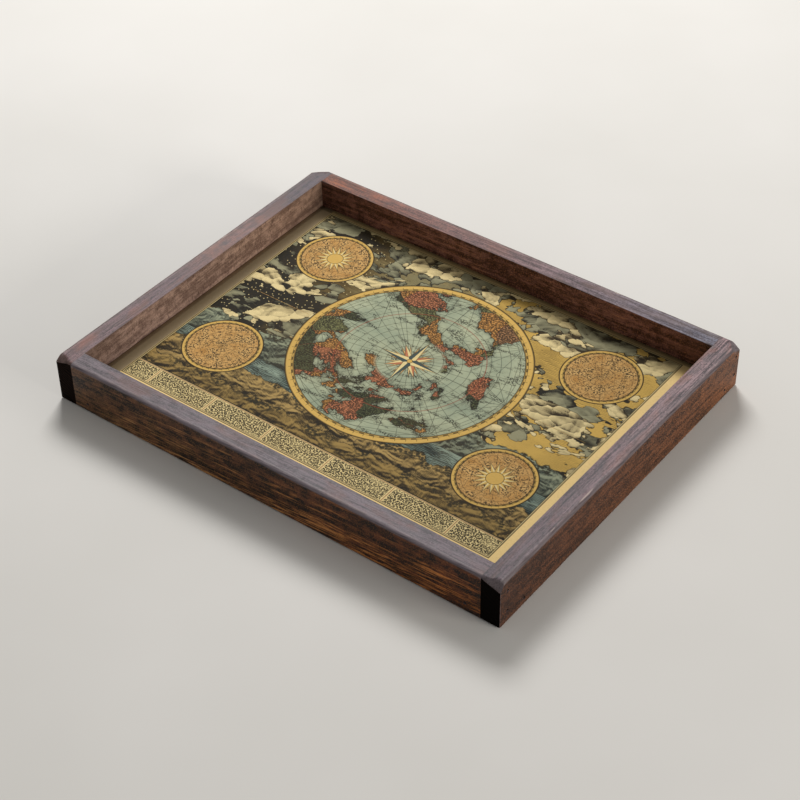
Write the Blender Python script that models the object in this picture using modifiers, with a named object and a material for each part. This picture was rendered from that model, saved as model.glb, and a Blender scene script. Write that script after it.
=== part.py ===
"""Wooden serving tray: four nailed rails, a base panel let in between them and a printed sheet glued on it.

Metres, +Z up. The origin is the middle of the underside.
X runs along the front rail, and +Y points to the back.
"""

import math

import bmesh
import bpy
from mathutils import Vector

# Overall sizes
OUTER_LENGTH = 0.482
OUTER_DEPTH = 0.374
RAIL_HEIGHT = 0.048
RAIL_THICKNESS = 0.019
PANEL_THICKNESS = 0.018
SHEET_THICKNESS = 0.0004

# Clearances between touching pieces
GLUE_GAP = 0.0003
SHEET_TRIM = 0.0005
BRAD_GAP = 0.0003

# Sanding of the glued-up frame
CORNER_ROUND = 0.0012
TOP_ROUND = 0.0032
BOTTOM_EASE = 0.001
RIM_EASE = 0.0003
ROUND_SEGMENTS = 4

# How far each top corner is sanded off along X, along Y and downwards
CORNER_FACETS = {
    "front_left": (0.021, 0.009, 0.0065),
    "front_right": (0.0256, 0.0065, 0.0084),
    "back_left": (0.017, 0.015, 0.007),
    "back_right": (0.010, 0.017, 0.008),
}

# Brads, and where they are driven
BRAD_LENGTH = 0.029
BRAD_HEAD_DIAMETER = 0.0024
BRAD_HEAD_HEIGHT = 0.0006
BRAD_NECK = 0.0005
BRAD_SHANK_DIAMETER = 0.0014
BRAD_POINT = 0.0025
BRAD_SET = 0.0008
BRAD_SIDES = 12
PANEL_BRAD_INSET = 0.0152

# Corner brads, driven by hand: inset from the tray's front or back, and heights
CORNER_BRADS = {
    "front": (0.0102, {"low": 0.0127, "high": 0.0353}),
    "back": (0.0068, {"low": 0.0157, "high": 0.0364}),
}

# The side rails' brads into the panel: inset from the well's end, and height
SIDE_PANEL_BRADS = {"front": (0.0152, 0.0069), "back": (0.0032, 0.0081)}

# Sizes that follow from those above
HALF_LENGTH = OUTER_LENGTH / 2
HALF_DEPTH = OUTER_DEPTH / 2
WELL_HALF_LENGTH = HALF_LENGTH - RAIL_THICKNESS
WELL_HALF_DEPTH = HALF_DEPTH - RAIL_THICKNESS
FITTED_HALF_LENGTH = WELL_HALF_LENGTH - GLUE_GAP
FITTED_HALF_DEPTH = WELL_HALF_DEPTH - GLUE_GAP

SIDES = {"left": -1, "right": 1}
ENDS = {"front": -1, "back": 1}


def clear_scene():
    for old in list(bpy.data.objects):
        bpy.data.objects.remove(old, do_unlink=True)


def new_collection(name):
    collection = bpy.data.collections.new(name)
    bpy.context.scene.collection.children.link(collection)
    return collection


def new_material(name, colour, roughness, metallic=0.0):
    material = bpy.data.materials.new(name)
    material.use_nodes = True
    shader = material.node_tree.nodes["Principled BSDF"]
    shader.inputs["Base Color"].default_value = (*colour, 1.0)
    shader.inputs["Roughness"].default_value = roughness
    shader.inputs["Metallic"].default_value = metallic
    material.diffuse_color = (*colour, 1.0)
    return material


def new_object(name, shape, collection, material=None):
    """Object whose mesh is taken from a bmesh, which is freed."""
    mesh = bpy.data.meshes.new(name)
    shape.to_mesh(mesh)
    shape.free()
    if material:
        mesh.materials.append(material)
    obj = bpy.data.objects.new(name, mesh)
    collection.objects.link(obj)
    return obj


def smooth_rounds(obj, sharpest_smooth=math.radians(30)):
    obj.data.shade_smooth()
    obj.data.set_sharp_from_angle(angle=sharpest_smooth)
    return obj


def make_cutter(obj):
    obj.hide_render = True
    obj.display_type = "WIRE"
    return obj


def cut(obj, cutter):
    modifier = obj.modifiers.new("cut_" + cutter.name, "BOOLEAN")
    modifier.operation = "DIFFERENCE"
    modifier.solver = "EXACT"
    modifier.object = cutter


def block(low, high):
    """Bmesh box between two corners."""
    shape = bmesh.new()
    bmesh.ops.create_cube(shape, size=1.0)
    low = Vector(low)
    high = Vector(high)
    bmesh.ops.scale(shape, vec=high - low, verts=shape.verts)
    bmesh.ops.translate(shape, vec=(low + high) / 2, verts=shape.verts)
    return shape


def round_edges(shape, chosen, radius, segments):
    edges = [edge for edge in shape.edges if chosen(edge)]
    bmesh.ops.bevel(
        shape, geom=edges, offset=radius, offset_type="OFFSET", segments=segments,
        profile=0.5, affect="EDGES", clamp_overlap=True,
    )


def slice_off(shape, point, normal, tolerance=1e-6):
    """Cuts away the side of a plane that its normal points to, and closes the cut."""
    everything = shape.verts[:] + shape.edges[:] + shape.faces[:]
    result = bmesh.ops.bisect_plane(
        shape, geom=everything, dist=tolerance, plane_co=point, plane_no=normal, clear_outer=True,
    )
    rim = [item for item in result["geom_cut"] if isinstance(item, bmesh.types.BMEdge)]
    bmesh.ops.contextual_create(shape, geom=rim)


def lies_along_z(edge):
    first, last = edge.verts
    return abs(first.co.z - last.co.z) > RAIL_HEIGHT / 2


def at_height(height, tolerance=1e-6):
    """Test that tells whether an edge lies level at this height."""
    def chosen(edge):
        return all(abs(vertex.co.z - height) < tolerance for vertex in edge.verts)
    return chosen


def sanded_envelope():
    """The tray's outside as one block, with rounded edges and sanded-off top corners."""
    shape = block((-HALF_LENGTH, -HALF_DEPTH, 0), (HALF_LENGTH, HALF_DEPTH, RAIL_HEIGHT))
    round_edges(shape, at_height(RAIL_HEIGHT), TOP_ROUND, ROUND_SEGMENTS)
    for side_name, side in SIDES.items():
        for end_name, end in ENDS.items():
            run, width, drop = CORNER_FACETS[f"{end_name}_{side_name}"]
            point = (side * HALF_LENGTH, end * HALF_DEPTH, RAIL_HEIGHT - drop)
            slice_off(shape, point, (side / run, end / width, 1 / drop))
    round_edges(shape, lies_along_z, CORNER_ROUND, ROUND_SEGMENTS)
    round_edges(shape, at_height(0), BOTTOM_EASE, 1)
    return shape


def side_rail(name, side, collection, material):
    """Rail as long as the tray is deep, which shows its end grain at the front and the back."""
    shape = sanded_envelope()
    slice_off(shape, (side * WELL_HALF_LENGTH, 0, 0), (-side, 0, 0))
    return smooth_rounds(new_object(name, shape, collection, material))


def end_rail(name, end, collection, material):
    """Front or back rail, which butts against the two side rails."""
    shape = sanded_envelope()
    slice_off(shape, (0, end * WELL_HALF_DEPTH, 0), (0, -end, 0))
    for side in SIDES.values():
        slice_off(shape, (side * FITTED_HALF_LENGTH, 0, 0), (side, 0, 0))
    return smooth_rounds(new_object(name, shape, collection, material))


def rim_cutter(collection):
    """Upside-down pyramid stump that eases the well's top edges at 45 degrees, mitred at the corners."""
    reach = RAIL_THICKNESS / 4
    low = RAIL_HEIGHT - RIM_EASE - reach
    high = RAIL_HEIGHT + reach
    shape = block((-WELL_HALF_LENGTH, -WELL_HALF_DEPTH, low), (WELL_HALF_LENGTH, WELL_HALF_DEPTH, high))
    for vertex in shape.verts:
        spread = vertex.co.z - (RAIL_HEIGHT - RIM_EASE)
        vertex.co.x += spread if vertex.co.x > 0 else -spread
        vertex.co.y += spread if vertex.co.y > 0 else -spread
    return make_cutter(new_object("rim_cutter", shape, collection))


def base_panel(collection, material):
    low = (-FITTED_HALF_LENGTH, -FITTED_HALF_DEPTH, 0)
    high = (FITTED_HALF_LENGTH, FITTED_HALF_DEPTH, PANEL_THICKNESS)
    shape = block(low, high)
    return new_object("base_panel", shape, collection, material)


def printed_sheet(collection, material):
    half_length = WELL_HALF_LENGTH - SHEET_TRIM
    half_depth = WELL_HALF_DEPTH - SHEET_TRIM
    low = PANEL_THICKNESS + GLUE_GAP
    shape = block((-half_length, -half_depth, low), (half_length, half_depth, low + SHEET_THICKNESS))
    return new_object("printed_sheet", shape, collection, material)


def turned(name, profile, collection, material=None):
    """Solid of revolution about local Z, from (radius, height) points in order from the top down."""
    mesh = bpy.data.meshes.new(name)
    points = [(radius, 0, height) for radius, height in profile]
    mesh.from_pydata(points, [(i, i + 1) for i in range(len(points) - 1)], [])
    if material:
        mesh.materials.append(material)
    obj = bpy.data.objects.new(name, mesh)
    collection.objects.link(obj)
    screw = obj.modifiers.new("turn", "SCREW")
    screw.axis = "Z"
    screw.steps = BRAD_SIDES
    screw.render_steps = BRAD_SIDES
    screw.use_merge_vertices = True
    screw.merge_threshold = 0.00001
    return obj


def brad_profile():
    """Head at height 0, shank below it, point at the bottom."""
    head = BRAD_HEAD_DIAMETER / 2
    shank = BRAD_SHANK_DIAMETER / 2
    return [
        (0, 0),
        (head, 0),
        (head, -BRAD_HEAD_HEIGHT),
        (shank, -BRAD_HEAD_HEIGHT - BRAD_NECK),
        (shank, -BRAD_LENGTH + BRAD_POINT),
        (0, -BRAD_LENGTH),
    ]


def hole_profile():
    """The brad with its clearance, open past the face that it is driven through."""
    head = BRAD_HEAD_DIAMETER / 2 + BRAD_GAP
    shank = BRAD_SHANK_DIAMETER / 2 + BRAD_GAP
    mouth = BRAD_SET + RAIL_THICKNESS / 4
    point_gap = BRAD_GAP * BRAD_POINT / (BRAD_SHANK_DIAMETER / 2)
    return [
        (0, mouth),
        (head, mouth),
        (head, -BRAD_HEAD_HEIGHT),
        (shank, -BRAD_HEAD_HEIGHT - BRAD_NECK),
        (shank, -BRAD_LENGTH + BRAD_POINT),
        (0, -BRAD_LENGTH - point_gap),
    ]


def drive_brad(name, entry, outward, pieces, collections, material):
    """Sets a brad below the face at entry, and cuts its hole in each piece that it passes through."""
    parts, cutters = collections
    brad = turned(name, brad_profile(), parts, material)
    hole = make_cutter(turned(name + "_hole", hole_profile(), cutters))
    outward = Vector(outward)
    for obj in (brad, hole):
        obj.location = Vector(entry) - outward * BRAD_SET
        obj.rotation_euler = outward.to_track_quat("Z", "Y").to_euler()
    for piece in pieces:
        cut(piece, hole)
    return brad


def corner_brads(rails, collections, material):
    """Two brads at each corner, through the side rail into the end of the front or back rail."""
    brads = []
    for side_name, side in SIDES.items():
        for end_name, end in ENDS.items():
            pieces = [rails[side_name], rails[end_name]]
            inset, levels = CORNER_BRADS[end_name]
            for level_name, height in levels.items():
                name = f"corner_brad_{end_name}_{side_name}_{level_name}"
                entry = (side * HALF_LENGTH, end * (HALF_DEPTH - inset), height)
                brads.append(drive_brad(name, entry, (side, 0, 0), pieces, collections, material))
    return brads


def panel_brads(rails, panel, collections, material):
    """A brad near each end of every rail, into the panel's edge."""
    end_height = PANEL_THICKNESS / 2
    brads = []
    for side_name, side in SIDES.items():
        for end_name, end in ENDS.items():
            x = side * (WELL_HALF_LENGTH - PANEL_BRAD_INSET)
            side_inset, side_height = SIDE_PANEL_BRADS[end_name]
            y = end * (WELL_HALF_DEPTH - side_inset)
            plans = (
                (end_name, side_name, (x, end * HALF_DEPTH, end_height), (0, end, 0)),
                (side_name, end_name, (side * HALF_LENGTH, y, side_height), (side, 0, 0)),
            )
            for rail_name, near_name, entry, outward in plans:
                name = f"panel_brad_{rail_name}_{near_name}"
                pieces = [rails[rail_name], panel]
                brads.append(drive_brad(name, entry, outward, pieces, collections, material))
    return brads


def main():
    clear_scene()
    parts = new_collection("serving_tray")
    cutters = new_collection("serving_tray_cutters")
    stained = new_material("stained_wood", (0.045, 0.024, 0.015), 0.45)
    board = new_material("panel_board", (0.06, 0.035, 0.022), 0.6)
    paper = new_material("printed_paper", (0.42, 0.37, 0.22), 0.4)
    steel = new_material("brad_steel", (0.12, 0.11, 0.10), 0.45, 1.0)

    rails = {name: side_rail(name + "_rail", side, parts, stained) for name, side in SIDES.items()}
    rails.update({name: end_rail(name + "_rail", end, parts, stained) for name, end in ENDS.items()})
    rim = rim_cutter(cutters)
    for rail in rails.values():
        cut(rail, rim)
    panel = base_panel(parts, board)
    pieces = [*rails.values(), panel, printed_sheet(parts, paper)]
    pieces += corner_brads(rails, (parts, cutters), steel)
    pieces += panel_brads(rails, panel, (parts, cutters), steel)

    tray = bpy.data.objects.new("tray_origin", None)
    parts.objects.link(tray)
    for piece in pieces:
        piece.parent = tray


main()
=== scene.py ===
"""Looks of the wooden serving tray: stained wood, a printed chart, a plain floor and soft light."""

import math
from collections import namedtuple

import bmesh
import bpy
from mathutils import Matrix, Vector
from mathutils import noise as fractal


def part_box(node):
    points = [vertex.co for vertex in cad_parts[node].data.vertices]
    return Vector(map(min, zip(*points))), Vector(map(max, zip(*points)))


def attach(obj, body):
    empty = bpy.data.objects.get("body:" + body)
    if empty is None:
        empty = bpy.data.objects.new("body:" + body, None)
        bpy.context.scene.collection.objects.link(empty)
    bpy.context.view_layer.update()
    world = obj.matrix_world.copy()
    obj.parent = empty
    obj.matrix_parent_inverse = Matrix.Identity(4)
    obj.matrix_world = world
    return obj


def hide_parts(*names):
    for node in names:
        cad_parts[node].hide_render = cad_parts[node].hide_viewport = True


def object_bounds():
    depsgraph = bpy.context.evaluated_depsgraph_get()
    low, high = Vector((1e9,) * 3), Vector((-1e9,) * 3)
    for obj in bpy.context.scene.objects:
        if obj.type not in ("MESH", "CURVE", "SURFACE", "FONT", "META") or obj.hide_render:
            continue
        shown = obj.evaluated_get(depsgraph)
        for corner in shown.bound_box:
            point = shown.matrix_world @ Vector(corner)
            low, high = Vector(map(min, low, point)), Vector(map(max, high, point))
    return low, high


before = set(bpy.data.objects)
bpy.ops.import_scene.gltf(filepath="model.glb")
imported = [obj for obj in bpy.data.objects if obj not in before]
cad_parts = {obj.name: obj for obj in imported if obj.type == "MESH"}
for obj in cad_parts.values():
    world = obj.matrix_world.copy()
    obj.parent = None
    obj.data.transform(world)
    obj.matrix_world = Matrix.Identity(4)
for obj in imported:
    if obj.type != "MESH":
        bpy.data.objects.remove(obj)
cad_low, cad_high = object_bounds()

IMAGE_WIDTH = 800
MM = 0.001

# Camera, found from the tray's edges in the photograph
FOCAL_PIXELS = 1985.2
SENSOR_WIDTH = 36.0
CAMERA_AZIMUTH = math.radians(37.68)
CAMERA_ELEVATION = math.radians(40.305)
CAMERA_ROLL = math.radians(-1.021)
CAMERA_TARGET = Vector((0.0085, -0.0095, 0.0))
CAMERA_DISTANCE = 1.7849

# Sanded rails: mesh spacing, depths and lengths of waves in metres
RAIL_GRID = 0.004
NICK_GRID = 0.001
SANDED_WAVE = 0.00022
SANDED_RIPPLE = 0.00008
ARRIS_WEAR = 0.0004
WAVE_LENGTH = 0.035
RIPPLE_LENGTH = 0.009
WEAR_LENGTH = 0.016
JOINT_CLOSING = 0.00027
SAME_PLACE = 1e-6
SHARP_ANGLE = math.radians(32)
FLAT_ANGLE = math.radians(0.5)

# Bare scratches on the edges: half length, half width and depth in metres
Nick = namedtuple("Nick", "rail middle reach width depth")
NICKS = (
    Nick("right_rail", Vector((0.2378, -0.0600, 0.0480)), 0.0120, 0.0010, 0.0004),
    Nick("right_rail", Vector((0.2380, -0.1100, 0.0480)), 0.0050, 0.0006, 0.0003),
    Nick("left_rail", Vector((-0.2386, 0.0400, 0.0478)), 0.0050, 0.0009, 0.0004),
    Nick("back_rail", Vector((0.1130, 0.1846, 0.0478)), 0.0045, 0.0009, 0.0004),
)

# Where a rail's painted shade in the inner corners and its darker outer face start and are full, in
# millimetres in from the tray's sides and ends
INNER_FACE = (16.0, 18.0)
INNER_CORNER = (90.0, 20.0)
OUTER_FACE = (13.0, 5.0)

# Where the top starts to round off, and half the length of a warm patch, in millimetres
TOP_ROUND = 3.2
WARM_REACH = 75.0

# Printed sheet: margins and layout in millimetres
MARGIN_LEFT = 15.8
MARGIN_RIGHT = 23.2
MARGIN_FRONT = 25.2
MARGIN_BACK = 6.0
STRIP_HEIGHT = 24.0
STRIP_PANEL = 66.0
STRIP_SHIFT = 12.0
DISC_RADIUS = 105.0
DISC_RULE = 70.0
RING_WIDTH = 8.0
COMPASS_CAP = 2.6
ROUNDEL_RADIUS = 33.0
ROUNDEL_RING = 4.6
ROUNDEL_ACROSS = 152.0
ROUNDEL_UP = 83.0

# Printed sheet: mesh, unevenness in metres, and shares of its map
SHEET_CELLS = (88, 66)
SHEET_WAVE = 0.00012
SHEET_WAVE_LENGTH = 0.05
MAP_PRINT_FROM = 0.05
MAP_UNDERSIDE = 0.03
MAP_EDGE_FROM = (0.05, 0.01)
MAP_EDGE_SIZE = (0.9, 0.02)

# Floor, just under the tray, in metres
FLOOR_SIZE = 8.0
FLOOR_DROP = 0.0002

# Soft light: the world's strength, and each lamp's place and size in metres, power and colour
WORLD_STRENGTH = 0.26
Lamp = namedtuple("Lamp", "name place size power colour")
LAMPS = (
    Lamp("sky_softbox", (-1.25, 1.5, 1.9), (1.0, 0.9), 64.0, (1.0, 1.0, 1.0)),
    Lamp("side_softbox", (4.4, 0.4, 1.0), (2.0, 1.2), 144.0, (1.0, 0.96, 0.9)),
)


def linear(code):
    """Linear colour of a six-digit sRGB hex code."""
    channels = [int(code[i:i + 2], 16) / 255 for i in (0, 2, 4)]
    return tuple(c / 12.92 if c <= 0.04045 else ((c + 0.055) / 1.055) ** 2.4 for c in channels)


# Colours of the stain and its wear, and of the painted shade in the inner corners and the painted sheen
# where the top rounds off
PORE = linear("1e120b")
FLECK = linear("35201a")
CORNER_SHADE = linear("2a1a13")
BROWN_PATCH = linear("8a5a45")
WARM_PATCH = linear("a06f5a")
RUBBED_SHEEN = linear("a59a98")
BARE_WOOD = linear("cdb8ac")
END_PORE = linear("040302")

# Colours of the panel, the brads and the floor
PANEL_TONES = (linear("3a2416"), linear("6a4428"))
PANEL_FIBRE = linear("24150d")
STEEL_TONES = (linear("1c1714"), linear("4a433d"))
FLOOR_TONES = (linear("d6d3cd"), linear("dedbd6"))

# Inks, tints and paper of the print, and painted shade from the left and back rails
PAPER = linear("f2d290")
LEFT_RAIL_PAINTED_SHADOW = linear("99886b")
BACK_RAIL_PAINTED_SHADOW = linear("453c2b")
BACK_MARGIN_PAINTED_SHADE = linear("3a3122")
FIBRE = linear("7d683f")
AGE = linear("73582f")
CREAM = linear("e0ca8f")
GOLD = linear("d2ab5a")
OCHRE = linear("c18a48")
PINK = linear("b8744f")
OLIVE = linear("4c5236")
MOSS = linear("74744a")
SLATE = linear("3f4d4b")
INK = linear("120e09")
RED = linear("8a3d28")
TREES = linear("1f2016")
DUSK = linear("7d7a5c")

# Pairs of tones in the print, from dark to light
SKY = (linear("1f1c13"), linear("cfa955"))
GREY_CLOUDS = (linear("24241b"), linear("969272"))
PALE_CLOUDS = (linear("4a3d24"), linear("e4cf97"))
FAR_HILLS = (linear("39453f"), linear("959a7e"))
MIDDLE_HILLS = (linear("332a17"), linear("b5965a"))
NEAR_HILLS = (linear("1f180c"), linear("9c8048"))
SEA = (linear("3f524f"), linear("8f9e8c"))
CHART_SEA = (linear("8b967f"), linear("b5b998"))
ROUNDEL_LAND = (linear("b58444"), linear("dcb270"))


class Value:
    """Number at a shading point. Arithmetic on it adds Math nodes."""

    def __init__(self, tree, socket):
        self.tree = tree
        self.socket = socket

    def math(self, operation, *others):
        return math_node(self.tree, operation, self, *others)

    def __add__(self, other):
        return self.math("ADD", other)

    def __sub__(self, other):
        return self.math("SUBTRACT", other)

    def __rsub__(self, other):
        return math_node(self.tree, "SUBTRACT", other, self)

    def __mul__(self, other):
        return self.math("MULTIPLY", other)

    def __truediv__(self, other):
        return self.math("DIVIDE", other)

    def __abs__(self):
        return self.math("ABSOLUTE")


def plug(tree, value, socket):
    """Links a value to a socket, or sets the socket to a plain number or colour."""
    if isinstance(value, Value):
        tree.links.new(value.socket, socket)
    elif isinstance(value, tuple) and socket.type == "RGBA":
        socket.default_value = (*value, 1.0)
    else:
        socket.default_value = value


def math_node(tree, operation, *values):
    node = tree.nodes.new("ShaderNodeMath")
    node.operation = operation
    for value, socket in zip(values, node.inputs):
        plug(tree, value, socket)
    return Value(tree, node.outputs[0])


def fract(value):
    return value.math("FRACT")


def lower(a, b):
    return a.math("MINIMUM", b)


def upper(a, b):
    return a.math("MAXIMUM", b)


def length(x, y):
    return (x * x + y * y).math("SQRT")


def step(value, start, end):
    """0 at start and 1 at end, straight between them, and level outside. Start may be the larger."""
    node = value.tree.nodes.new("ShaderNodeMapRange")
    for name, number in (("Value", value), ("From Min", start), ("From Max", end)):
        plug(value.tree, number, node.inputs[name])
    return Value(value.tree, node.outputs["Result"])


def stroke(distance, width, soft=0.25):
    """1 on a line of this width, where distance is how far away the line is."""
    return step(abs(distance), width / 2 + soft, max(width / 2 - soft, 0.0))


def repeated(value, pitch):
    """Distance from the nearest of evenly spaced lines."""
    return (fract(value / pitch) - 0.5) * pitch


def hatch(value, pitch, tone):
    """Engraved lines that thicken with tone, from 0 for none to 1 for solid."""
    return step(abs(fract(value / pitch) - 0.5) * 2 - tone, 0.15, -0.15)


def inside(distance, soft=0.25):
    """1 where a signed distance is below zero."""
    return step(distance, soft, -soft)


def between(value, low, high, soft=0.25):
    return inside(abs(value - (low + high) / 2) - (high - low) / 2, soft)


def vector(tree, x, y, z=0.0):
    node = tree.nodes.new("ShaderNodeCombineXYZ")
    for value, socket in zip((x, y, z), node.inputs):
        plug(tree, value, socket)
    return Value(tree, node.outputs[0])


def split(place):
    node = place.tree.nodes.new("ShaderNodeSeparateXYZ")
    plug(place.tree, place, node.inputs[0])
    return [Value(place.tree, socket) for socket in node.outputs]


def noise(place, detail=3.0, roughness=0.5, distortion=0.0):
    node = place.tree.nodes.new("ShaderNodeTexNoise")
    settings = {
        "Vector": place,
        "Scale": 1.0,
        "Detail": detail,
        "Roughness": roughness,
        "Distortion": distortion,
    }
    for name, value in settings.items():
        plug(place.tree, value, node.inputs[name])
    return Value(place.tree, node.outputs["Fac"])


def voronoi(place, feature="F1"):
    """Flat Voronoi node with cells of about one unit."""
    node = place.tree.nodes.new("ShaderNodeTexVoronoi")
    node.voronoi_dimensions = "2D"
    node.feature = feature
    plug(place.tree, place, node.inputs["Vector"])
    plug(place.tree, 1.0, node.inputs["Scale"])
    return node


def dots(place):
    """Distance from the nearest of many scattered points."""
    return Value(place.tree, voronoi(place).outputs["Distance"])


def cell_edge(place):
    return Value(place.tree, voronoi(place, "DISTANCE_TO_EDGE").outputs["Distance"])


def cells(place):
    """Distance from a cell's middle, the way from it, and a number of the cell's own."""
    tree = place.tree
    node = voronoi(place)
    way = tree.nodes.new("ShaderNodeVectorMath")
    way.operation = "SUBTRACT"
    plug(tree, place, way.inputs[0])
    tree.links.new(node.outputs["Position"], way.inputs[1])
    own = tree.nodes.new("ShaderNodeSeparateColor")
    tree.links.new(node.outputs["Color"], own.inputs[0])
    distance = Value(tree, node.outputs["Distance"])
    return distance, Value(tree, way.outputs[0]), Value(tree, own.outputs[0])


def mix(factor, first, second):
    """Colour between two colours."""
    tree = factor.tree
    node = tree.nodes.new("ShaderNodeMix")
    node.data_type = "RGBA"
    plug(tree, factor, node.inputs[0])
    plug(tree, first, node.inputs[6])
    plug(tree, second, node.inputs[7])
    return Value(tree, node.outputs[2])


def new_material(name):
    """Material with an empty Principled shader, its node tree and that shader."""
    material = bpy.data.materials.new(name)
    material.use_nodes = True
    tree = material.node_tree
    return material, tree, tree.nodes["Principled BSDF"]


def object_place(tree):
    """X, Y and Z of the shading point in millimetres."""
    coordinates = tree.nodes.new("ShaderNodeTexCoord")
    return [value / MM for value in split(Value(tree, coordinates.outputs["Object"]))]


def surface_normal(tree):
    geometry = tree.nodes.new("ShaderNodeNewGeometry")
    return split(Value(tree, geometry.outputs["Normal"]))


def bump(tree, shader, height, depth_mm):
    node = tree.nodes.new("ShaderNodeBump")
    node.inputs["Distance"].default_value = depth_mm * MM
    plug(tree, height, node.inputs["Height"])
    tree.links.new(node.outputs["Normal"], shader.inputs["Normal"])


class Board:
    """One rail's wood: grain, shares of gold, flecks and speckle, tones, and tints at its two ends."""

    def __init__(
        self, axis, seed, slope, shares, face_tones, face_tints, top_tones, top_tints, edge_tone,
        outside_tone=None, gloss=0.26, patches=0.3, warm_middle=None,
    ):
        self.axis = axis
        self.seed = seed
        self.slope = slope
        self.gold_share, self.fleck_share, self.speckle_share = shares
        self.dark, self.middle, self.gold = [linear(tone) for tone in face_tones]
        self.face_tints = face_tints
        self.top_tones = [linear(tone) for tone in top_tones]
        self.top_tints = top_tints
        self.edge_tone = linear(edge_tone)
        self.outside_tone = outside_tone and linear(outside_tone)
        self.gloss = gloss
        self.patches = patches
        self.warm_middle = warm_middle


# A rail's top tones and tints hold wear and a painted grey-blue sheen
BOARDS = {
    "front_rail": Board(
        axis="X",
        seed=1.3,
        slope=(0.02, 0.06),
        shares=(1.0, 0.2, 0.3),
        face_tones=("110803", "714729", "d69b55"),
        face_tints=((0.9, 1.02, 1.38), (0.86, 0.58, 0.42)),
        top_tones=("342b2d", "7c6c6f"),
        top_tints=((0.88, 0.88, 0.93), (0.92, 0.9, 0.96)),
        edge_tone="7a7075",
    ),
    "back_rail": Board(
        axis="X",
        seed=4.9,
        slope=(0.01, 0.03),
        shares=(0.7, 0.2, 0.6),
        face_tones=("482c21", "9a6a5c", "c98960"),
        face_tints=((0.9, 0.9, 0.9), (1.05, 1.05, 1.05)),
        top_tones=("422c2a", "906c66"),
        top_tints=((1.25, 0.74, 0.33), (0.83, 1.58, 2.25)),
        edge_tone="584a47",
        outside_tone="2c1a10",
        gloss=0.14,
    ),
    "left_rail": Board(
        axis="Y",
        seed=8.2,
        slope=(0.02, 0.05),
        shares=(0.25, 0.85, 0.5),
        face_tones=("644d42", "9e8271", "b2997f"),
        face_tints=((0.95, 0.98, 1.1), (1.15, 1.1, 1.05)),
        top_tones=("3a2a2c", "7f6665"),
        top_tints=((1.15, 1.1, 1.15), (0.4, 0.45, 0.6)),
        edge_tone="66524c",
        outside_tone="351f12",
        patches=0.55,
        warm_middle=38.0,
    ),
    "right_rail": Board(
        axis="Y",
        seed=12.6,
        slope=(0.02, -0.04),
        shares=(0.3, 0.35, 1.0),
        face_tones=("26140a", "643f29", "8d5f40"),
        face_tints=((0.56, 0.5, 0.5), (1.28, 1.18, 1.03)),
        top_tones=("2b2125", "857274"),
        top_tints=((0.65, 0.62, 0.7), (1.6, 1.45, 1.42)),
        edge_tone="665c5e",
    ),
}

# Dark and light tones of the end grain, on the rails that show it
END_GRAIN_TONES = {"left_rail": ("0a0605", "2e1e17"), "right_rail": ("050302", "140c08")}


class Wood:
    """Where a shading point lies on a rail, in millimetres, and the noises that its look is made of."""

    def __init__(self, tree, board):
        self.tree = tree
        self.board = board
        self.place = object_place(tree)
        x, y, self.z = self.place
        tray_x, tray_y = cad_high.x / MM, cad_high.y / MM
        if board.axis == "X":
            self.along, self.across = x, y
            self.reach, self.half_width = tray_x, tray_y
        else:
            self.along, self.across = y, x
            self.reach, self.half_width = tray_y, tray_x
        self.side = self.across - self.along * board.slope[0]
        self.rise = self.z - self.along * board.slope[1]
        self.cluster = self.grain(75.0, 24.0, 2.0)
        self.bands = self.grain(95.0, 3.4)
        self.strokes = self.grain(24.0, 1.15)
        self.pores = self.grain(6.0, 0.36, 2.0)
        self.mottle = self.grit(10.0, 7.0, 4.0, 0.65)
        self.speckle = self.grit(1.5, 1.1, 2.0, 0.6)

    def grain(self, run, pitch, detail=3.0, roughness=0.6):
        """Noise drawn out along the sloping grain, with its lengths along and across it."""
        start = self.along / run + self.board.seed
        return noise(vector(self.tree, start, self.side / pitch, self.rise / pitch), detail, roughness)

    def grit(self, run, pitch, detail, roughness):
        """Noise that lies square to the rail."""
        start = self.along / run + self.board.seed
        return noise(vector(self.tree, start, self.across / pitch, self.z / pitch), detail, roughness)

    def tinted(self, colour, tints):
        """Colour times a tint that changes evenly from one end of the rail to the other."""
        node = self.tree.nodes.new("ShaderNodeMix")
        node.data_type = "RGBA"
        node.blend_type = "MULTIPLY"
        plug(self.tree, 1.0, node.inputs[0])
        plug(self.tree, colour, node.inputs[6])
        plug(self.tree, mix(step(self.along, -self.reach, self.reach), *tints), node.inputs[7])
        return Value(self.tree, node.outputs[2])


def face_colour(wood):
    """Mottled stain with golden strokes along the grain, speckle, pores and flecks."""
    board, bands, cluster, speckle = wood.board, wood.bands, wood.cluster, wood.speckle
    colour = mix(step(wood.mottle + (bands - 0.5) * 0.9, 0.39, 0.64), board.dark, board.middle)
    colour = mix(step(cluster, 0.45, 0.7) * 0.4, colour, board.dark)
    # Golden strokes grow towards the bottom: partly the wood's grain, partly painted light that offsets the
    # shade near the floor
    golden = step(wood.strokes, 0.5, 0.58) * step(bands * 0.7 - cluster * 0.5 - wood.z / 200, -0.08, 0.12)
    golden = golden * step(wood.along, -wood.reach, -wood.reach * 0.4)
    colour = mix(golden * board.gold_share, colour, board.gold)
    colour = mix(step(speckle, 0.48, 0.3) * board.speckle_share, colour, board.gold)
    colour = mix(step(speckle, 0.52, 0.7) * board.speckle_share, colour, board.dark)
    colour = mix(step(wood.pores, 0.54, 0.74) * 0.5, colour, PORE)
    flecks = wood.grit(1.6, 5.0, 3.0, 0.7)
    colour = mix(step(flecks, 0.56, 0.72) * board.fleck_share, colour, FLECK)
    return wood.tinted(colour, board.face_tints)


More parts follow.
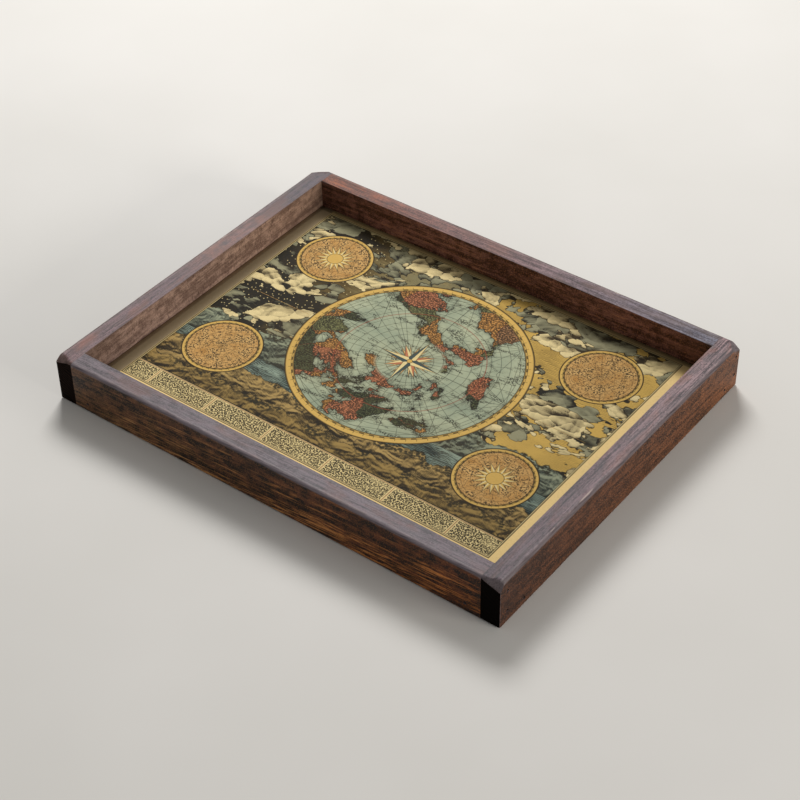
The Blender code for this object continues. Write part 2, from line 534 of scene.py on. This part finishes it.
def shade_faces(wood, colour):
    """Painted shade on the inner faces towards the corners, and an outer face with a tone of its own."""
    board, half_width, reach = wood.board, wood.half_width, wood.reach
    # Painted shade in the tray's inner corners
    inner = step(abs(wood.across), half_width - INNER_FACE[0], half_width - INNER_FACE[1])
    corner = step(abs(wood.along), reach - INNER_CORNER[0], reach - INNER_CORNER[1])
    colour = mix(inner * corner * 0.42, colour, CORNER_SHADE)
    if board.outside_tone:
        outside = step(abs(wood.across), half_width - OUTER_FACE[0], half_width - OUTER_FACE[1])
        colour = mix(outside * 0.6, colour, board.outside_tone)
    return colour


def worn_and_sheen_top(wood):
    """Grey streaked top with brown patches: the grey is partly wear and partly painted sheen."""
    board = wood.board
    streak = step(wood.bands * 0.35 + wood.strokes * 0.4 + wood.speckle * 0.3, 0.45, 0.6)
    colour = mix(streak, *board.top_tones)
    colour = mix(step(wood.grain(50.0, 16.0, 2.0), 0.5, 0.62) * board.patches, colour, BROWN_PATCH)
    colour = wood.tinted(colour, board.top_tints)
    if board.warm_middle:
        from_middle = abs(wood.along - board.warm_middle)
        warm = step(from_middle, WARM_REACH, WARM_REACH * 0.4) * step(wood.mottle, 0.3, 0.55)
        colour = mix(warm * 0.4, colour, WARM_PATCH)
    return colour


def wear_and_sheen_edges(wood, colour):
    """Wear on the upright edges; wear and painted sheen on the rounded edges, the top, and where the top
    starts to round off.
    """
    board, mottle = wood.board, wood.mottle
    east, north, up = surface_normal(wood.tree)
    upright = step(lower(abs(east), abs(north)), 0.2, 0.5) * step(mottle, 0.25, 0.6)
    colour = mix(upright * 0.6, colour, board.edge_tone)
    # Rounded edges and facets: grey, partly wear and partly painted sheen
    rounded = step(up, 0.08, 0.5) * step(mottle + up * 0.5, 0.2, 0.6)
    colour = mix(rounded, colour, mix(step(wood.strokes, 0.2, 0.55), board.top_tones[0], board.edge_tone))
    # Top faces: worn grey with painted sheen
    colour = mix(step(up, 0.9, 0.99) * step(mottle, 0.1, 0.6), colour, worn_and_sheen_top(wood))
    # Pale line where the top starts to round off: painted sheen with some wear
    from_round = abs(wood.across) - wood.half_width + TOP_ROUND
    rubbed_sheen = stroke(from_round, 1.6, 1.0) * step(up, 0.8, 0.9) * step(mottle, 0.3, 0.6)
    return mix(rubbed_sheen * 0.35, colour, RUBBED_SHEEN)


def nick_mask(wood, nick):
    """Thin bare scratch that runs along the rail and fades at its ends."""
    x, y, z = [value - number for value, number in zip(wood.place, nick.middle / MM)]
    along, across = (x, y) if wood.board.axis == "X" else (y, x)
    distance = length(length(across, z) / (nick.width / MM), along / (nick.reach / MM))
    return step(distance + (wood.mottle - 0.5) * 0.5, 1.0, 0.3)


def stained_wood(node, board):
    """Dark-stained softwood with grey tops and edges, worn and with painted sheen, painted shade in the
    inner corners, and a few bare nicks.
    """
    material, tree, shader = new_material(node + "_wood")
    wood = Wood(tree, board)
    colour = wear_and_sheen_edges(wood, shade_faces(wood, face_colour(wood)))
    for nick in NICKS:
        if nick.rail == node:
            colour = mix(nick_mask(wood, nick) * 0.9, colour, BARE_WOOD)
    plug(tree, colour, shader.inputs["Base Color"])
    plug(tree, step(wood.strokes, 0.2, 0.9) * 0.2 + 0.44, shader.inputs["Roughness"])
    shader.inputs["Specular IOR Level"].default_value = board.gloss
    bump(tree, shader, wood.pores * 0.6 + wood.strokes * 0.6 + wood.bands * 0.3, 0.1)
    return material


def end_grain_wood(name, tones):
    """End grain, which soaks up the stain and turns almost black."""
    material, tree, shader = new_material(name)
    x, _, z = object_place(tree)
    bend = noise(vector(tree, x / 18, z / 18, 0.7), 2.0)
    rings = fract((z + x * 0.35 + bend * 14) / 3.4)
    pores = noise(vector(tree, x / 0.5, z / 0.5, 2.0), 2.0)
    colour = mix(step(rings, 0.55, 0.95), linear(tones[0]), linear(tones[1]))
    colour = mix(step(pores, 0.5, 0.75) * 0.6, colour, END_PORE)
    plug(tree, colour, shader.inputs["Base Color"])
    plug(tree, step(pores, 0.2, 0.8) * 0.2 + 0.75, shader.inputs["Roughness"])
    shader.inputs["Specular IOR Level"].default_value = 0.03
    bump(tree, shader, pores + rings * 0.4, 0.15)
    return material


def panel_wood():
    material, tree, shader = new_material("panel_wood")
    x, y, z = object_place(tree)
    streaks = noise(vector(tree, x / 70, y / 6, z / 2), 4.0, 0.6, 0.4)
    fibres = noise(vector(tree, x / 8, y / 0.5, z / 0.5), 2.0)
    colour = mix(step(streaks, 0.3, 0.7), *PANEL_TONES)
    colour = mix(step(fibres, 0.5, 0.75) * 0.5, colour, PANEL_FIBRE)
    plug(tree, colour, shader.inputs["Base Color"])
    plug(tree, step(fibres, 0.2, 0.9) * 0.2 + 0.5, shader.inputs["Roughness"])
    bump(tree, shader, fibres, 0.1)
    return material


def brad_steel():
    material, tree, shader = new_material("dull_steel")
    x, y, z = object_place(tree)
    stain = noise(vector(tree, x * 1.1, y * 1.1, z * 1.1), 3.0)
    plug(tree, mix(step(stain, 0.35, 0.65), *STEEL_TONES), shader.inputs["Base Color"])
    plug(tree, step(stain, 0.2, 0.8) * 0.3 + 0.35, shader.inputs["Roughness"])
    shader.inputs["Metallic"].default_value = 0.8
    return material


class Picture:
    """Colour that is painted over in layers."""

    def __init__(self, colour):
        self.colour = colour

    def paint(self, mask, ink, strength=1.0):
        mask = mask * strength if strength != 1.0 else mask
        self.colour = mix(mask, self.colour, ink)


def polar(x, y):
    return length(x, y), y.math("ARCTAN2", x)


def folded(angle, count, turn=0.0):
    """Angle from the middle of the nearest of count equal sectors."""
    sector = 2 * math.pi / count
    return (fract(angle / sector + (0.5 - turn / sector)) - 0.5) * sector


def spokes(radius, angle, count, width):
    return stroke(radius * folded(angle, count).math("SINE"), width)


def star(radius, angle, count, tip, waist, turn):
    """Signed distance to a star with straight points, and which side of its nearest point this is."""
    sector = folded(angle, count, turn)
    half = math.pi / count
    inner_x, inner_y = waist * math.cos(half), waist * math.sin(half)
    lean_x, lean_y = inner_y, tip - inner_x
    size = math.hypot(lean_x, lean_y)
    bent = abs(sector)
    x, y = radius * bent.math("COSINE"), radius * bent.math("SINE")
    return (x - tip) * (lean_x / size) + y * (lean_y / size), sector


def paint_star(picture, radius, angle, count, tip, waist, turn, light, dark):
    distance, side = star(radius, angle, count, tip, waist, turn)
    body = inside(distance)
    picture.paint(body, light)
    picture.paint(body * step(side, -0.002, 0.002), dark)
    picture.paint(stroke(distance, 0.5), INK, 0.85)


def paint_ring(picture, radius, angle, low, width, steps):
    """Gold band between ink lines, with a fine scale along its inner edge."""
    picture.paint(between(radius, low, low + width), GOLD)
    scale = between(radius, low + width * 0.12, low + width * 0.3)
    chequer = step(fract(angle * (steps / (2 * math.pi))), 0.49, 0.51)
    picture.paint(scale * chequer, INK, 0.8)
    ticks = spokes(radius, angle, steps, 0.5) * between(radius, low + width * 0.3, low + width * 0.62)
    picture.paint(ticks, INK, 0.75)
    for share, weight in ((0.0, 0.9), (0.12, 0.3), (0.3, 0.3), (0.9, 0.3), (1.0, 1.1)):
        picture.paint(stroke(radius - (low + width * share), weight), INK, 0.9)


def paint_land(picture, tree, x, y, where, scale, level):
    """Made-up islands: tinted provinces, stippled hills, an ink coast and short water lines beside it."""
    shape = noise(vector(tree, x / scale, y / scale, 3.7), 6.0, 0.58, 0.35)
    land = step(shape, level, level + 0.006) * where
    shallows = step(shape, level - 0.055, level - 0.005) * where
    picture.paint(hatch(y, 1.5, shallows * 0.7) * shallows, INK, 0.8)
    u, v = x / scale + shape * 0.7, y / scale + shape * 0.5
    place = vector(tree, u * 1.9, v * 1.9)
    _, _, province = cells(place)
    tint = mix(step(province, 0.32, 0.33), OLIVE, OCHRE)
    tint = mix(step(province, 0.55, 0.56), tint, PINK)
    tint = mix(step(province, 0.78, 0.79), tint, MOSS)
    picture.paint(land, tint)
    picture.paint(stroke(cell_edge(place) * 30, 0.8) * land, RED, 0.6)
    rough = noise(vector(tree, x / 11, y / 11, 9.1), 3.0)
    specks = step(dots(vector(tree, x / 1.7, y / 1.4)), 0.62, 0.44)
    picture.paint(specks * step(rough, 0.1, 0.5) * land, INK, 0.85)
    picture.paint(stroke((shape - level) * 240, 2.2, 0.8) * where, INK, 0.95)
    return land


def relief(tree, x, y, seed, detail=6.0):
    return noise(vector(tree, x, y, seed), detail, 0.56, 0.7)


def lit_relief(tree, x, y, wide, tall, seed):
    """Height of a rough surface, and how much of the light from above on the left its slope catches."""
    height = relief(tree, x / wide, y / tall, seed)
    nearby = relief(tree, (x + 1.6) / wide, (y - 2.2) / tall, seed)
    return height, step(height - nearby, -0.075, 0.075)


def paint_sky(tree, x, y):
    """Dusky sky, dark with stars on the left and golden on the right, ruled with fine level lines."""
    drift = relief(tree, x / 90, y / 40, 1.0)
    region = step(x + y * 0.25 + (drift - 0.5) * 240, -130.0, 110.0)
    picture = Picture(mix(region, *SKY))
    picture.paint(stroke(region - 0.45, 0.3, 0.15), DUSK, 0.8)
    picture.paint(hatch(y + drift * 16, 1.5, step(drift, 0.62, 0.36) * 0.65), INK, 0.5)
    distance, _, own = cells(vector(tree, x / 5.5, y / 5.5))
    spark = step(distance, 0.13, 0.07) * step(own, 0.35, 0.4) * step(region, 0.4, 0.25)
    picture.paint(spark, CREAM, 0.9)
    return picture


def paint_clouds(picture, tree, x, y, tones, size, seed, level):
    """Heaped clouds with scalloped edges, lit from above on the left and hatched in their own shade."""
    bend = relief(tree, x / 24, y / 24, seed, 3.0)
    bank = relief(tree, x / 64, y / 40, seed, 4.0)
    beyond = relief(tree, (x + 4.0) / 64, (y - 6.0) / 40, seed, 4.0)
    distance, way, own = cells(vector(tree, x / size + bend * 1.3, y / (size * 0.8) + bend * 1.1))
    off_x, off_y, _ = split(way)
    edge = (level - bank) * 90 + (distance - own * 0.25 - 0.35) * size * 0.8
    body = inside(edge, 0.4)
    near_edge = step(edge, -9.0, -1.0)
    puffs = (off_y * 0.8 - off_x * 0.55) * (near_edge * 0.9 + 0.35)
    light = puffs + step(bank - beyond, -0.09, 0.09) - 0.5
    picture.paint(body, mix(step(light, -0.55, 0.5), *tones))
    shade = step(light, 0.05, -0.6)
    picture.paint(body * hatch(distance * size + bend * 10, 1.5, shade * 0.9), INK, 0.75)
    picture.paint(stroke(edge, 1.3), INK, 0.9)


def paint_hills(picture, tree, x, y, tones, crest, swing, run, seed):
    """Range of hills below a wandering crest, with slanted hatching and clumps of trees."""
    ridge = y - crest - (noise(vector(tree, x / run, seed, 0.0), 5.0, 0.55) - 0.5) * swing
    body = inside(ridge, 0.3)
    height, lit = lit_relief(tree, x, y, 20.0, 14.0, seed)
    tone = lower(upper(lit * 0.8 + step(ridge, -26.0, 0.0) * 0.5 - 0.15, 0.0), 1.0)
    picture.paint(body, mix(tone, *tones))
    picture.paint(body * hatch(ridge + x * 0.3 + height * 9, 1.4, step(tone, 0.8, 0.0) * 0.85), INK, 0.75)
    woods = noise(vector(tree, x / 16, y / 30, seed), 3.0)
    clumps = step(dots(vector(tree, x / 3.0, y / 2.3)), 0.65, 0.4) * between(ridge, -8.0, 1.2, 1.0)
    picture.paint(clumps * step(woods, 0.44, 0.54), TREES, 0.9)
    picture.paint(stroke(ridge, 0.6), INK, 0.8)


def paint_sea(picture, tree, x, y, top):
    drift = noise(vector(tree, x / 50, y / 12, 5.2), 4.0, 0.6, 0.6)
    water = inside(y - top, 0.3)
    picture.paint(water, mix(step(drift, 0.35, 0.65), *SEA))
    swell = y + (x / 6 + drift * 24).math("SINE") * 0.9
    picture.paint(water * hatch(swell, 1.8, step(drift, 0.7, 0.25)), INK, 0.8)


def paint_disc(picture, tree, x, y):
    """The large chart: pale sea, graticule, islands, course lines and a compass star in a gold ring."""
    radius, angle = polar(x, y)
    disc = inside(radius - DISC_RADIUS)
    wash = noise(vector(tree, x / 40, y / 40, 8.0), 5.0, 0.6)
    picture.paint(disc, mix(step(wash, 0.3, 0.7), *CHART_SEA))
    picture.paint(disc * stroke(repeated(radius, 8.75), 0.5), INK, 0.7)
    picture.paint(disc * spokes(radius, angle, 36, 0.5), INK, 0.65)
    land = paint_land(picture, tree, x, y, disc * step(radius, 30, 34), 60.0, 0.53)
    busy = step(noise(vector(tree, x / 20, y / 6, 1.9), 3.0), 0.52, 0.62)
    specks = step(dots(vector(tree, x / 1.7, y / 1.4)), 0.55, 0.38)
    picture.paint(disc * busy * specks * (1.0 - land), INK, 0.8)
    sector = folded(angle, 8)
    from_rim = radius * sector.math("COSINE") - DISC_RADIUS
    aside = radius * sector.math("SINE")
    rim_radius, rim_angle = polar(from_rim, aside)
    picture.paint(disc * spokes(rim_radius, rim_angle, 16, 0.45) * (1.0 - land * 0.7), INK, 0.7)
    picture.paint(disc * stroke(radius - DISC_RULE, 0.9), RED, 0.7)
    paint_star(picture, radius, angle, 16, 22, 8, math.pi / 16, CREAM, OCHRE)
    paint_star(picture, radius, angle, 4, 24, 5.5, math.pi / 4, CREAM, PINK)
    paint_star(picture, radius, angle, 4, 31, 6, 0.0, CREAM, SLATE)
    picture.paint(inside(radius - COMPASS_CAP), GOLD)
    picture.paint(stroke(radius - COMPASS_CAP, 0.6), INK, 0.9)
    paint_ring(picture, radius, angle, DISC_RADIUS, RING_WIDTH, 72)


def paint_roundels(picture, tree, x, y):
    """Four small gold-ringed discs round the large one, with finely lined ochre charts and suns."""
    right = step(x, -0.5, 0.5)
    top = step(y, -0.5, 0.5)
    local_x = x - (right - 0.5) * (2 * ROUNDEL_ACROSS)
    local_y = y - (top - 0.5) * (2 * ROUNDEL_UP)
    radius, angle = polar(local_x, local_y)
    disc = inside(radius - ROUNDEL_RADIUS)
    wash = noise(vector(tree, x / 12, y / 12, 4.0), 5.0, 0.6)
    picture.paint(disc, mix(step(wash, 0.3, 0.7), *ROUNDEL_LAND))
    picture.paint(disc * stroke(repeated(wash, 0.1) * 60, 1.1), INK, 0.85)
    picture.paint(disc * stroke(repeated(radius, 8.25), 0.35), INK, 0.6)
    picture.paint(disc * spokes(radius, angle, 12, 0.35), INK, 0.6)
    marks = step(dots(vector(tree, x / 2.2, y / 1.9)), 0.4, 0.28)
    picture.paint(disc * marks * step(wash, 0.48, 0.56), INK, 0.9)
    sun = Picture(picture.colour)
    paint_star(sun, radius, angle, 16, ROUNDEL_RADIUS * 0.6, ROUNDEL_RADIUS * 0.3, 0.0, CREAM, GOLD)
    sun.paint(inside(radius - ROUNDEL_RADIUS * 0.24), GOLD)
    sun.paint(stroke(radius - ROUNDEL_RADIUS * 0.24, 0.6), INK, 0.9)
    picture.paint(disc * abs(top - right), sun.colour)
    paint_ring(picture, radius, angle, ROUNDEL_RADIUS, ROUNDEL_RING, 36)


def paint_strip(picture, tree, x, y, low):
    """Stippled band along the front, ruled off in panels."""
    band = between(y, low, low + STRIP_HEIGHT)
    picture.paint(band, CREAM)
    tone = noise(vector(tree, x / 34, y / 9, 2.2), 3.0)
    grains = dots(vector(tree, x / 1.5, y / 1.25))
    picture.paint(band * step(grains, 0.54, 0.42) * step(tone, 0.1, 0.45), INK, 0.95)
    panels = repeated(x + STRIP_SHIFT, STRIP_PANEL)
    picture.paint(band * stroke(panels, 3.0), CREAM)
    picture.paint(band * stroke(panels, 0.8), RED, 0.8)
    for height in (low + 1.2, low + STRIP_HEIGHT - 1.4):
        picture.paint(stroke(y - height, 1.6), CREAM)
        picture.paint(stroke(y - height, 0.7), RED, 0.85)
    picture.paint(stroke(y - low - STRIP_HEIGHT, 1.2), INK, 0.9)


def printed_paper(low, high):
    """Aged chart print with pale margins and painted shade from the left and back rails, sealed with a
    satin coat.
    """
    material, tree, shader = new_material("printed_chart")
    x, y, _ = object_place(tree)
    west = low.x / MM + MARGIN_LEFT
    east = high.x / MM - MARGIN_RIGHT
    south = low.y / MM + MARGIN_FRONT
    north = high.y / MM - MARGIN_BACK
    half_width = (east - west) / 2
    art_x = x - (west + east) / 2
    art_y = y - (south + STRIP_HEIGHT + north) / 2

    picture = paint_sky(tree, art_x, art_y)
    paint_clouds(picture, tree, art_x, art_y, GREY_CLOUDS, size=17.0, seed=2.0, level=0.5)
    paint_clouds(picture, tree, art_x, art_y, PALE_CLOUDS, size=12.0, seed=5.0, level=0.52)
    paint_hills(picture, tree, art_x, art_y, FAR_HILLS, crest=-46.0, swing=60.0, run=44.0, seed=2.0)
    paint_sea(picture, tree, art_x, art_y, top=-78.0)
    paint_hills(picture, tree, art_x, art_y, MIDDLE_HILLS, crest=-98.0, swing=50.0, run=30.0, seed=7.0)
    paint_hills(picture, tree, art_x, art_y, NEAR_HILLS, crest=-122.0, swing=30.0, run=22.0, seed=11.0)
    paint_roundels(picture, tree, art_x, art_y)
    paint_disc(picture, tree, art_x, art_y)
    paint_strip(picture, tree, x, y, south)

    edge = upper(abs(art_x) - half_width, abs(y - (south + north) / 2) - (north - south) / 2)
    picture.paint(step(edge, -1.4, -1.0), CREAM)
    picture.paint(step(edge, -0.3, 0.3), PAPER)
    for line, weight in ((-1.5, 0.5), (0.0, 1.1)):
        picture.paint(stroke(edge - line, weight), INK, 0.85)
    # Painted shadow of the left rail over the left margin
    picture.paint(step(x, west - 0.4, west - 1.2), LEFT_RAIL_PAINTED_SHADOW)
    # Painted shadow of the back rail over the back of the print
    picture.paint(step(y, north - 18, north + 8), BACK_RAIL_PAINTED_SHADOW, 0.55)
    # Painted shade on the back margin, at the foot of the back rail
    picture.paint(step(y, north, north + 1.5), BACK_MARGIN_PAINTED_SHADE, 0.6)

    fibre = noise(vector(tree, x / 2.2, y / 2.2, 0.0), 4.0, 0.6)
    age = noise(vector(tree, x / 75, y / 75, 6.0), 4.0, 0.55)
    picture.paint(step(fibre, 0.45, 0.8), FIBRE, 0.16)
    picture.paint(step(age, 0.5, 0.8), AGE, 0.2)
    plug(tree, picture.colour, shader.inputs["Base Color"])
    plug(tree, step(fibre, 0.2, 0.8) * 0.15 + 0.58, shader.inputs["Roughness"])
    shader.inputs["Specular IOR Level"].default_value = 0.08
    bump(tree, shader, fibre, 0.05)
    return material


def floor_material():
    material, tree, shader = new_material("pale_floor")
    x, y, _ = object_place(tree)
    cloud = noise(vector(tree, x / 400, y / 400, 0.0), 4.0)
    plug(tree, mix(step(cloud, 0.3, 0.7), *FLOOR_TONES), shader.inputs["Base Color"])
    shader.inputs["Roughness"].default_value = 0.9
    shader.inputs["Specular IOR Level"].default_value = 0.1
    return material


def new_piece(name, bm, materials, replaced):
    """Mesh object from a bmesh that rides on the tray and stands for a CAD node."""
    mesh = bpy.data.meshes.new(name)
    bm.to_mesh(mesh)
    bm.free()
    for material in materials:
        mesh.materials.append(material)
    piece = bpy.data.objects.new(name, mesh)
    bpy.context.scene.collection.objects.link(piece)
    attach(piece, "root")
    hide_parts(replaced)
    return piece


def stations(low, high, spacing):
    count = max(round((high - low) / spacing), 1)
    return [low + (high - low) * i / count for i in range(1, count)]


def cut_across(bm, axis, places):
    """Cuts edges into every face where it crosses these places on an axis."""
    normal = Vector((0.0, 0.0, 0.0))
    normal[axis] = 1.0
    for place in places:
        geometry = bm.verts[:] + bm.edges[:] + bm.faces[:]
        bmesh.ops.bisect_plane(bm, geom=geometry, dist=SAME_PLACE, plane_co=normal * place, plane_no=normal)


def joint_verts(bm, node):
    """Vertices on the faces where this rail butts against the others."""
    low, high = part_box(node)
    if node in ("front_rail", "back_rail"):
        return {vert for vert in bm.verts if abs(vert.co.x) > high.x - SAME_PLACE}
    inner = min(abs(low.x), abs(high.x)) + SAME_PLACE
    well_depth = abs(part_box("front_rail")[1].y)
    return {vert for vert in bm.verts if abs(vert.co.x) < inner and abs(vert.co.y) > well_depth}


def sand_by_hand(bm, held, run, nicks):
    """Moves the surface in by fractions of a millimetre: long waves, fine ripple, worn edges and nicks."""
    bm.normal_update()
    for vert in bm.verts:
        normal = vert.normal.copy()
        if vert in held:
            normal.x = 0.0
        if normal.length < 0.1:
            continue
        normal.normalize()
        wave = 0.5 + 0.5 * fractal.noise(vert.co / WAVE_LENGTH)
        ripple = 0.5 + 0.5 * fractal.noise(vert.co / RIPPLE_LENGTH)
        edge = max(abs(normal.x) + abs(normal.y) + abs(normal.z) - 1.1, 0.0)
        wear = max(fractal.noise(vert.co / WEAR_LENGTH), 0.0) * edge
        depth = SANDED_WAVE * wave + SANDED_RIPPLE * ripple + ARRIS_WEAR * wear
        for nick in nicks:
            offset = vert.co - nick.middle
            aside = math.hypot(offset[1 - run], offset.z) / nick.width
            depth += nick.depth * max(1.0 - math.hypot(offset[run] / nick.reach, aside), 0.0)
        vert.co -= normal * depth


def make_rail(node, board):
    """Rail with the CAD node's shape on a fine mesh, sanded by hand."""
    bm = bmesh.new()
    bm.from_mesh(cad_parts[node].data)
    bmesh.ops.remove_doubles(bm, verts=bm.verts, dist=SAME_PLACE)
    bmesh.ops.dissolve_limit(bm, angle_limit=FLAT_ANGLE, verts=bm.verts, edges=bm.edges)
    low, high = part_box(node)
    nicks = [nick for nick in NICKS if nick.rail == node]
    run = 0 if board.axis == "X" else 1
    for axis in range(3):
        cut_across(bm, axis, stations(low[axis], high[axis], RAIL_GRID))
    for nick in nicks:
        middle = nick.middle[run]
        cut_across(bm, run, stations(middle - nick.reach, middle + nick.reach, NICK_GRID))
    materials = [stained_wood(node, board)]
    if node in END_GRAIN_TONES:
        materials.append(end_grain_wood(node + "_end_grain", END_GRAIN_TONES[node]))
        for face in bm.faces:
            face.material_index = 1 if abs(face.normal.y) > 0.6 and face.normal.z < 0.3 else 0
    held = joint_verts(bm, node)
    sand_by_hand(bm, held, run, nicks)
    if board.axis == "X":
        for vert in held:
            vert.co.x += math.copysign(JOINT_CLOSING, vert.co.x)
    for face in bm.faces:
        face.smooth = True
    piece = new_piece(node + "_board", bm, materials, node)
    piece.data.set_sharp_from_angle(angle=SHARP_ANGLE)


def sheet_layer(bm, low, high, level):
    """Grid of vertices for one side of the sheet, row by row from the front left corner."""
    columns, rows = SHEET_CELLS
    layer = []
    for j in range(rows + 1):
        for i in range(columns + 1):
            x = low.x + (high.x - low.x) * i / columns
            y = low.y + (high.y - low.y) * j / rows
            lift = SHEET_WAVE * fractal.noise(Vector((x, y, 0.0)) / SHEET_WAVE_LENGTH)
            layer.append(bm.verts.new((x, y, level + lift)))
    return layer


def sheet_border():
    """Places round the edge of a layer, in order."""
    columns, rows = SHEET_CELLS
    wide = columns + 1
    front = list(range(wide))
    right = [j * wide + columns for j in range(1, rows + 1)]
    back = [rows * wide + i for i in range(columns - 1, -1, -1)]
    left = [j * wide for j in range(rows - 1, 0, -1)]
    return front + right + back + left


def spread_map(bm, low, high):
    """Maps the print over almost the whole texture, and the underside and edges into a narrow strip."""
    spread = bm.loops.layers.uv.new("OFBake")
    for face in bm.faces:
        for loop in face.loops:
            u = (loop.vert.co.x - low.x) / (high.x - low.x)
            v = (loop.vert.co.y - low.y) / (high.y - low.y)
            if face.normal.z > 0.5:
                loop[spread].uv = (u, MAP_PRINT_FROM + (1.0 - MAP_PRINT_FROM) * v)
            elif face.normal.z < -0.5:
                loop[spread].uv = (MAP_UNDERSIDE * u, MAP_UNDERSIDE * v)
            else:
                tall = (loop.vert.co.z - low.z) / (high.z - low.z)
                edge_u = MAP_EDGE_FROM[0] + MAP_EDGE_SIZE[0] * (u + v) / 2
                loop[spread].uv = (edge_u, MAP_EDGE_FROM[1] + MAP_EDGE_SIZE[1] * tall)


def make_sheet():
    """Printed sheet, glued down a little unevenly."""
    low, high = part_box("printed_sheet")
    columns, rows = SHEET_CELLS
    wide = columns + 1
    bm = bmesh.new()
    layers = [sheet_layer(bm, low, high, level) for level in (low.z, high.z)]
    for level, layer in enumerate(layers):
        for j in range(rows):
            for i in range(columns):
                corner = j * wide + i
                ring = [layer[corner], layer[corner + 1], layer[corner + wide + 1], layer[corner + wide]]
                bm.faces.new(ring if level else ring[::-1])
    border = sheet_border()
    for a, b in zip(border, border[1:] + border[:1]):
        bm.faces.new((layers[0][a], layers[0][b], layers[1][b], layers[1][a]))
    bm.normal_update()
    for face in bm.faces:
        face.smooth = abs(face.normal.z) > 0.5
    spread_map(bm, low, high)
    new_piece("printed_chart_sheet", bm, [printed_paper(low, high)], "printed_sheet")


def make_floor():
    bpy.ops.mesh.primitive_plane_add(size=FLOOR_SIZE, location=(0, 0, -FLOOR_DROP))
    floor = bpy.context.object
    floor.name = "floor"
    floor.data.materials.append(floor_material())


def add_softbox(lamp):
    """Rectangular lamp aimed at the tray."""
    light = bpy.data.lights.new(lamp.name, "AREA")
    light.shape = "RECTANGLE"
    light.size, light.size_y = lamp.size
    light.energy = lamp.power
    light.color = lamp.colour
    obj = bpy.data.objects.new(lamp.name, light)
    bpy.context.scene.collection.objects.link(obj)
    obj.location = lamp.place
    obj.rotation_euler = (-Vector(lamp.place)).to_track_quat("-Z", "Y").to_euler()


def light_scene():
    world = bpy.data.worlds.new("studio")
    world.use_nodes = True
    background = world.node_tree.nodes["Background"]
    background.inputs["Color"].default_value = (1.0, 1.0, 1.0, 1.0)
    background.inputs["Strength"].default_value = WORLD_STRENGTH
    bpy.context.scene.world = world
    for lamp in LAMPS:
        add_softbox(lamp)


def make_camera():
    data = bpy.data.cameras.new("camera")
    data.sensor_width = SENSOR_WIDTH
    data.lens = FOCAL_PIXELS / IMAGE_WIDTH * SENSOR_WIDTH
    camera = bpy.data.objects.new("camera", data)
    bpy.context.scene.collection.objects.link(camera)
    level = math.cos(CAMERA_ELEVATION)
    back = Vector((
        math.sin(CAMERA_AZIMUTH) * level,
        -math.cos(CAMERA_AZIMUTH) * level,
        math.sin(CAMERA_ELEVATION),
    ))
    right = Vector((math.cos(CAMERA_AZIMUTH), math.sin(CAMERA_AZIMUTH), 0.0))
    facing = Matrix((right, back.cross(right), back)).transposed()
    roll = Matrix.Rotation(CAMERA_ROLL, 3, back)
    place = Matrix.Translation(CAMERA_TARGET + back * CAMERA_DISTANCE)
    camera.matrix_world = place @ (roll @ facing).to_4x4()
    bpy.context.scene.camera = camera


def dress(node, material):
    """Gives a CAD node this material in place of its own."""
    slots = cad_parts[node].data.materials
    slots.clear()
    slots.append(material)


def main():
    for node, board in BOARDS.items():
        make_rail(node, board)
    make_sheet()
    dress("base_panel", panel_wood())
    steel = brad_steel()
    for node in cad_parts:
        if "brad" in node:
            dress(node, steel)
    make_floor()
    light_scene()
    make_camera()
    bpy.context.scene.view_settings.view_transform = "Standard"


main()
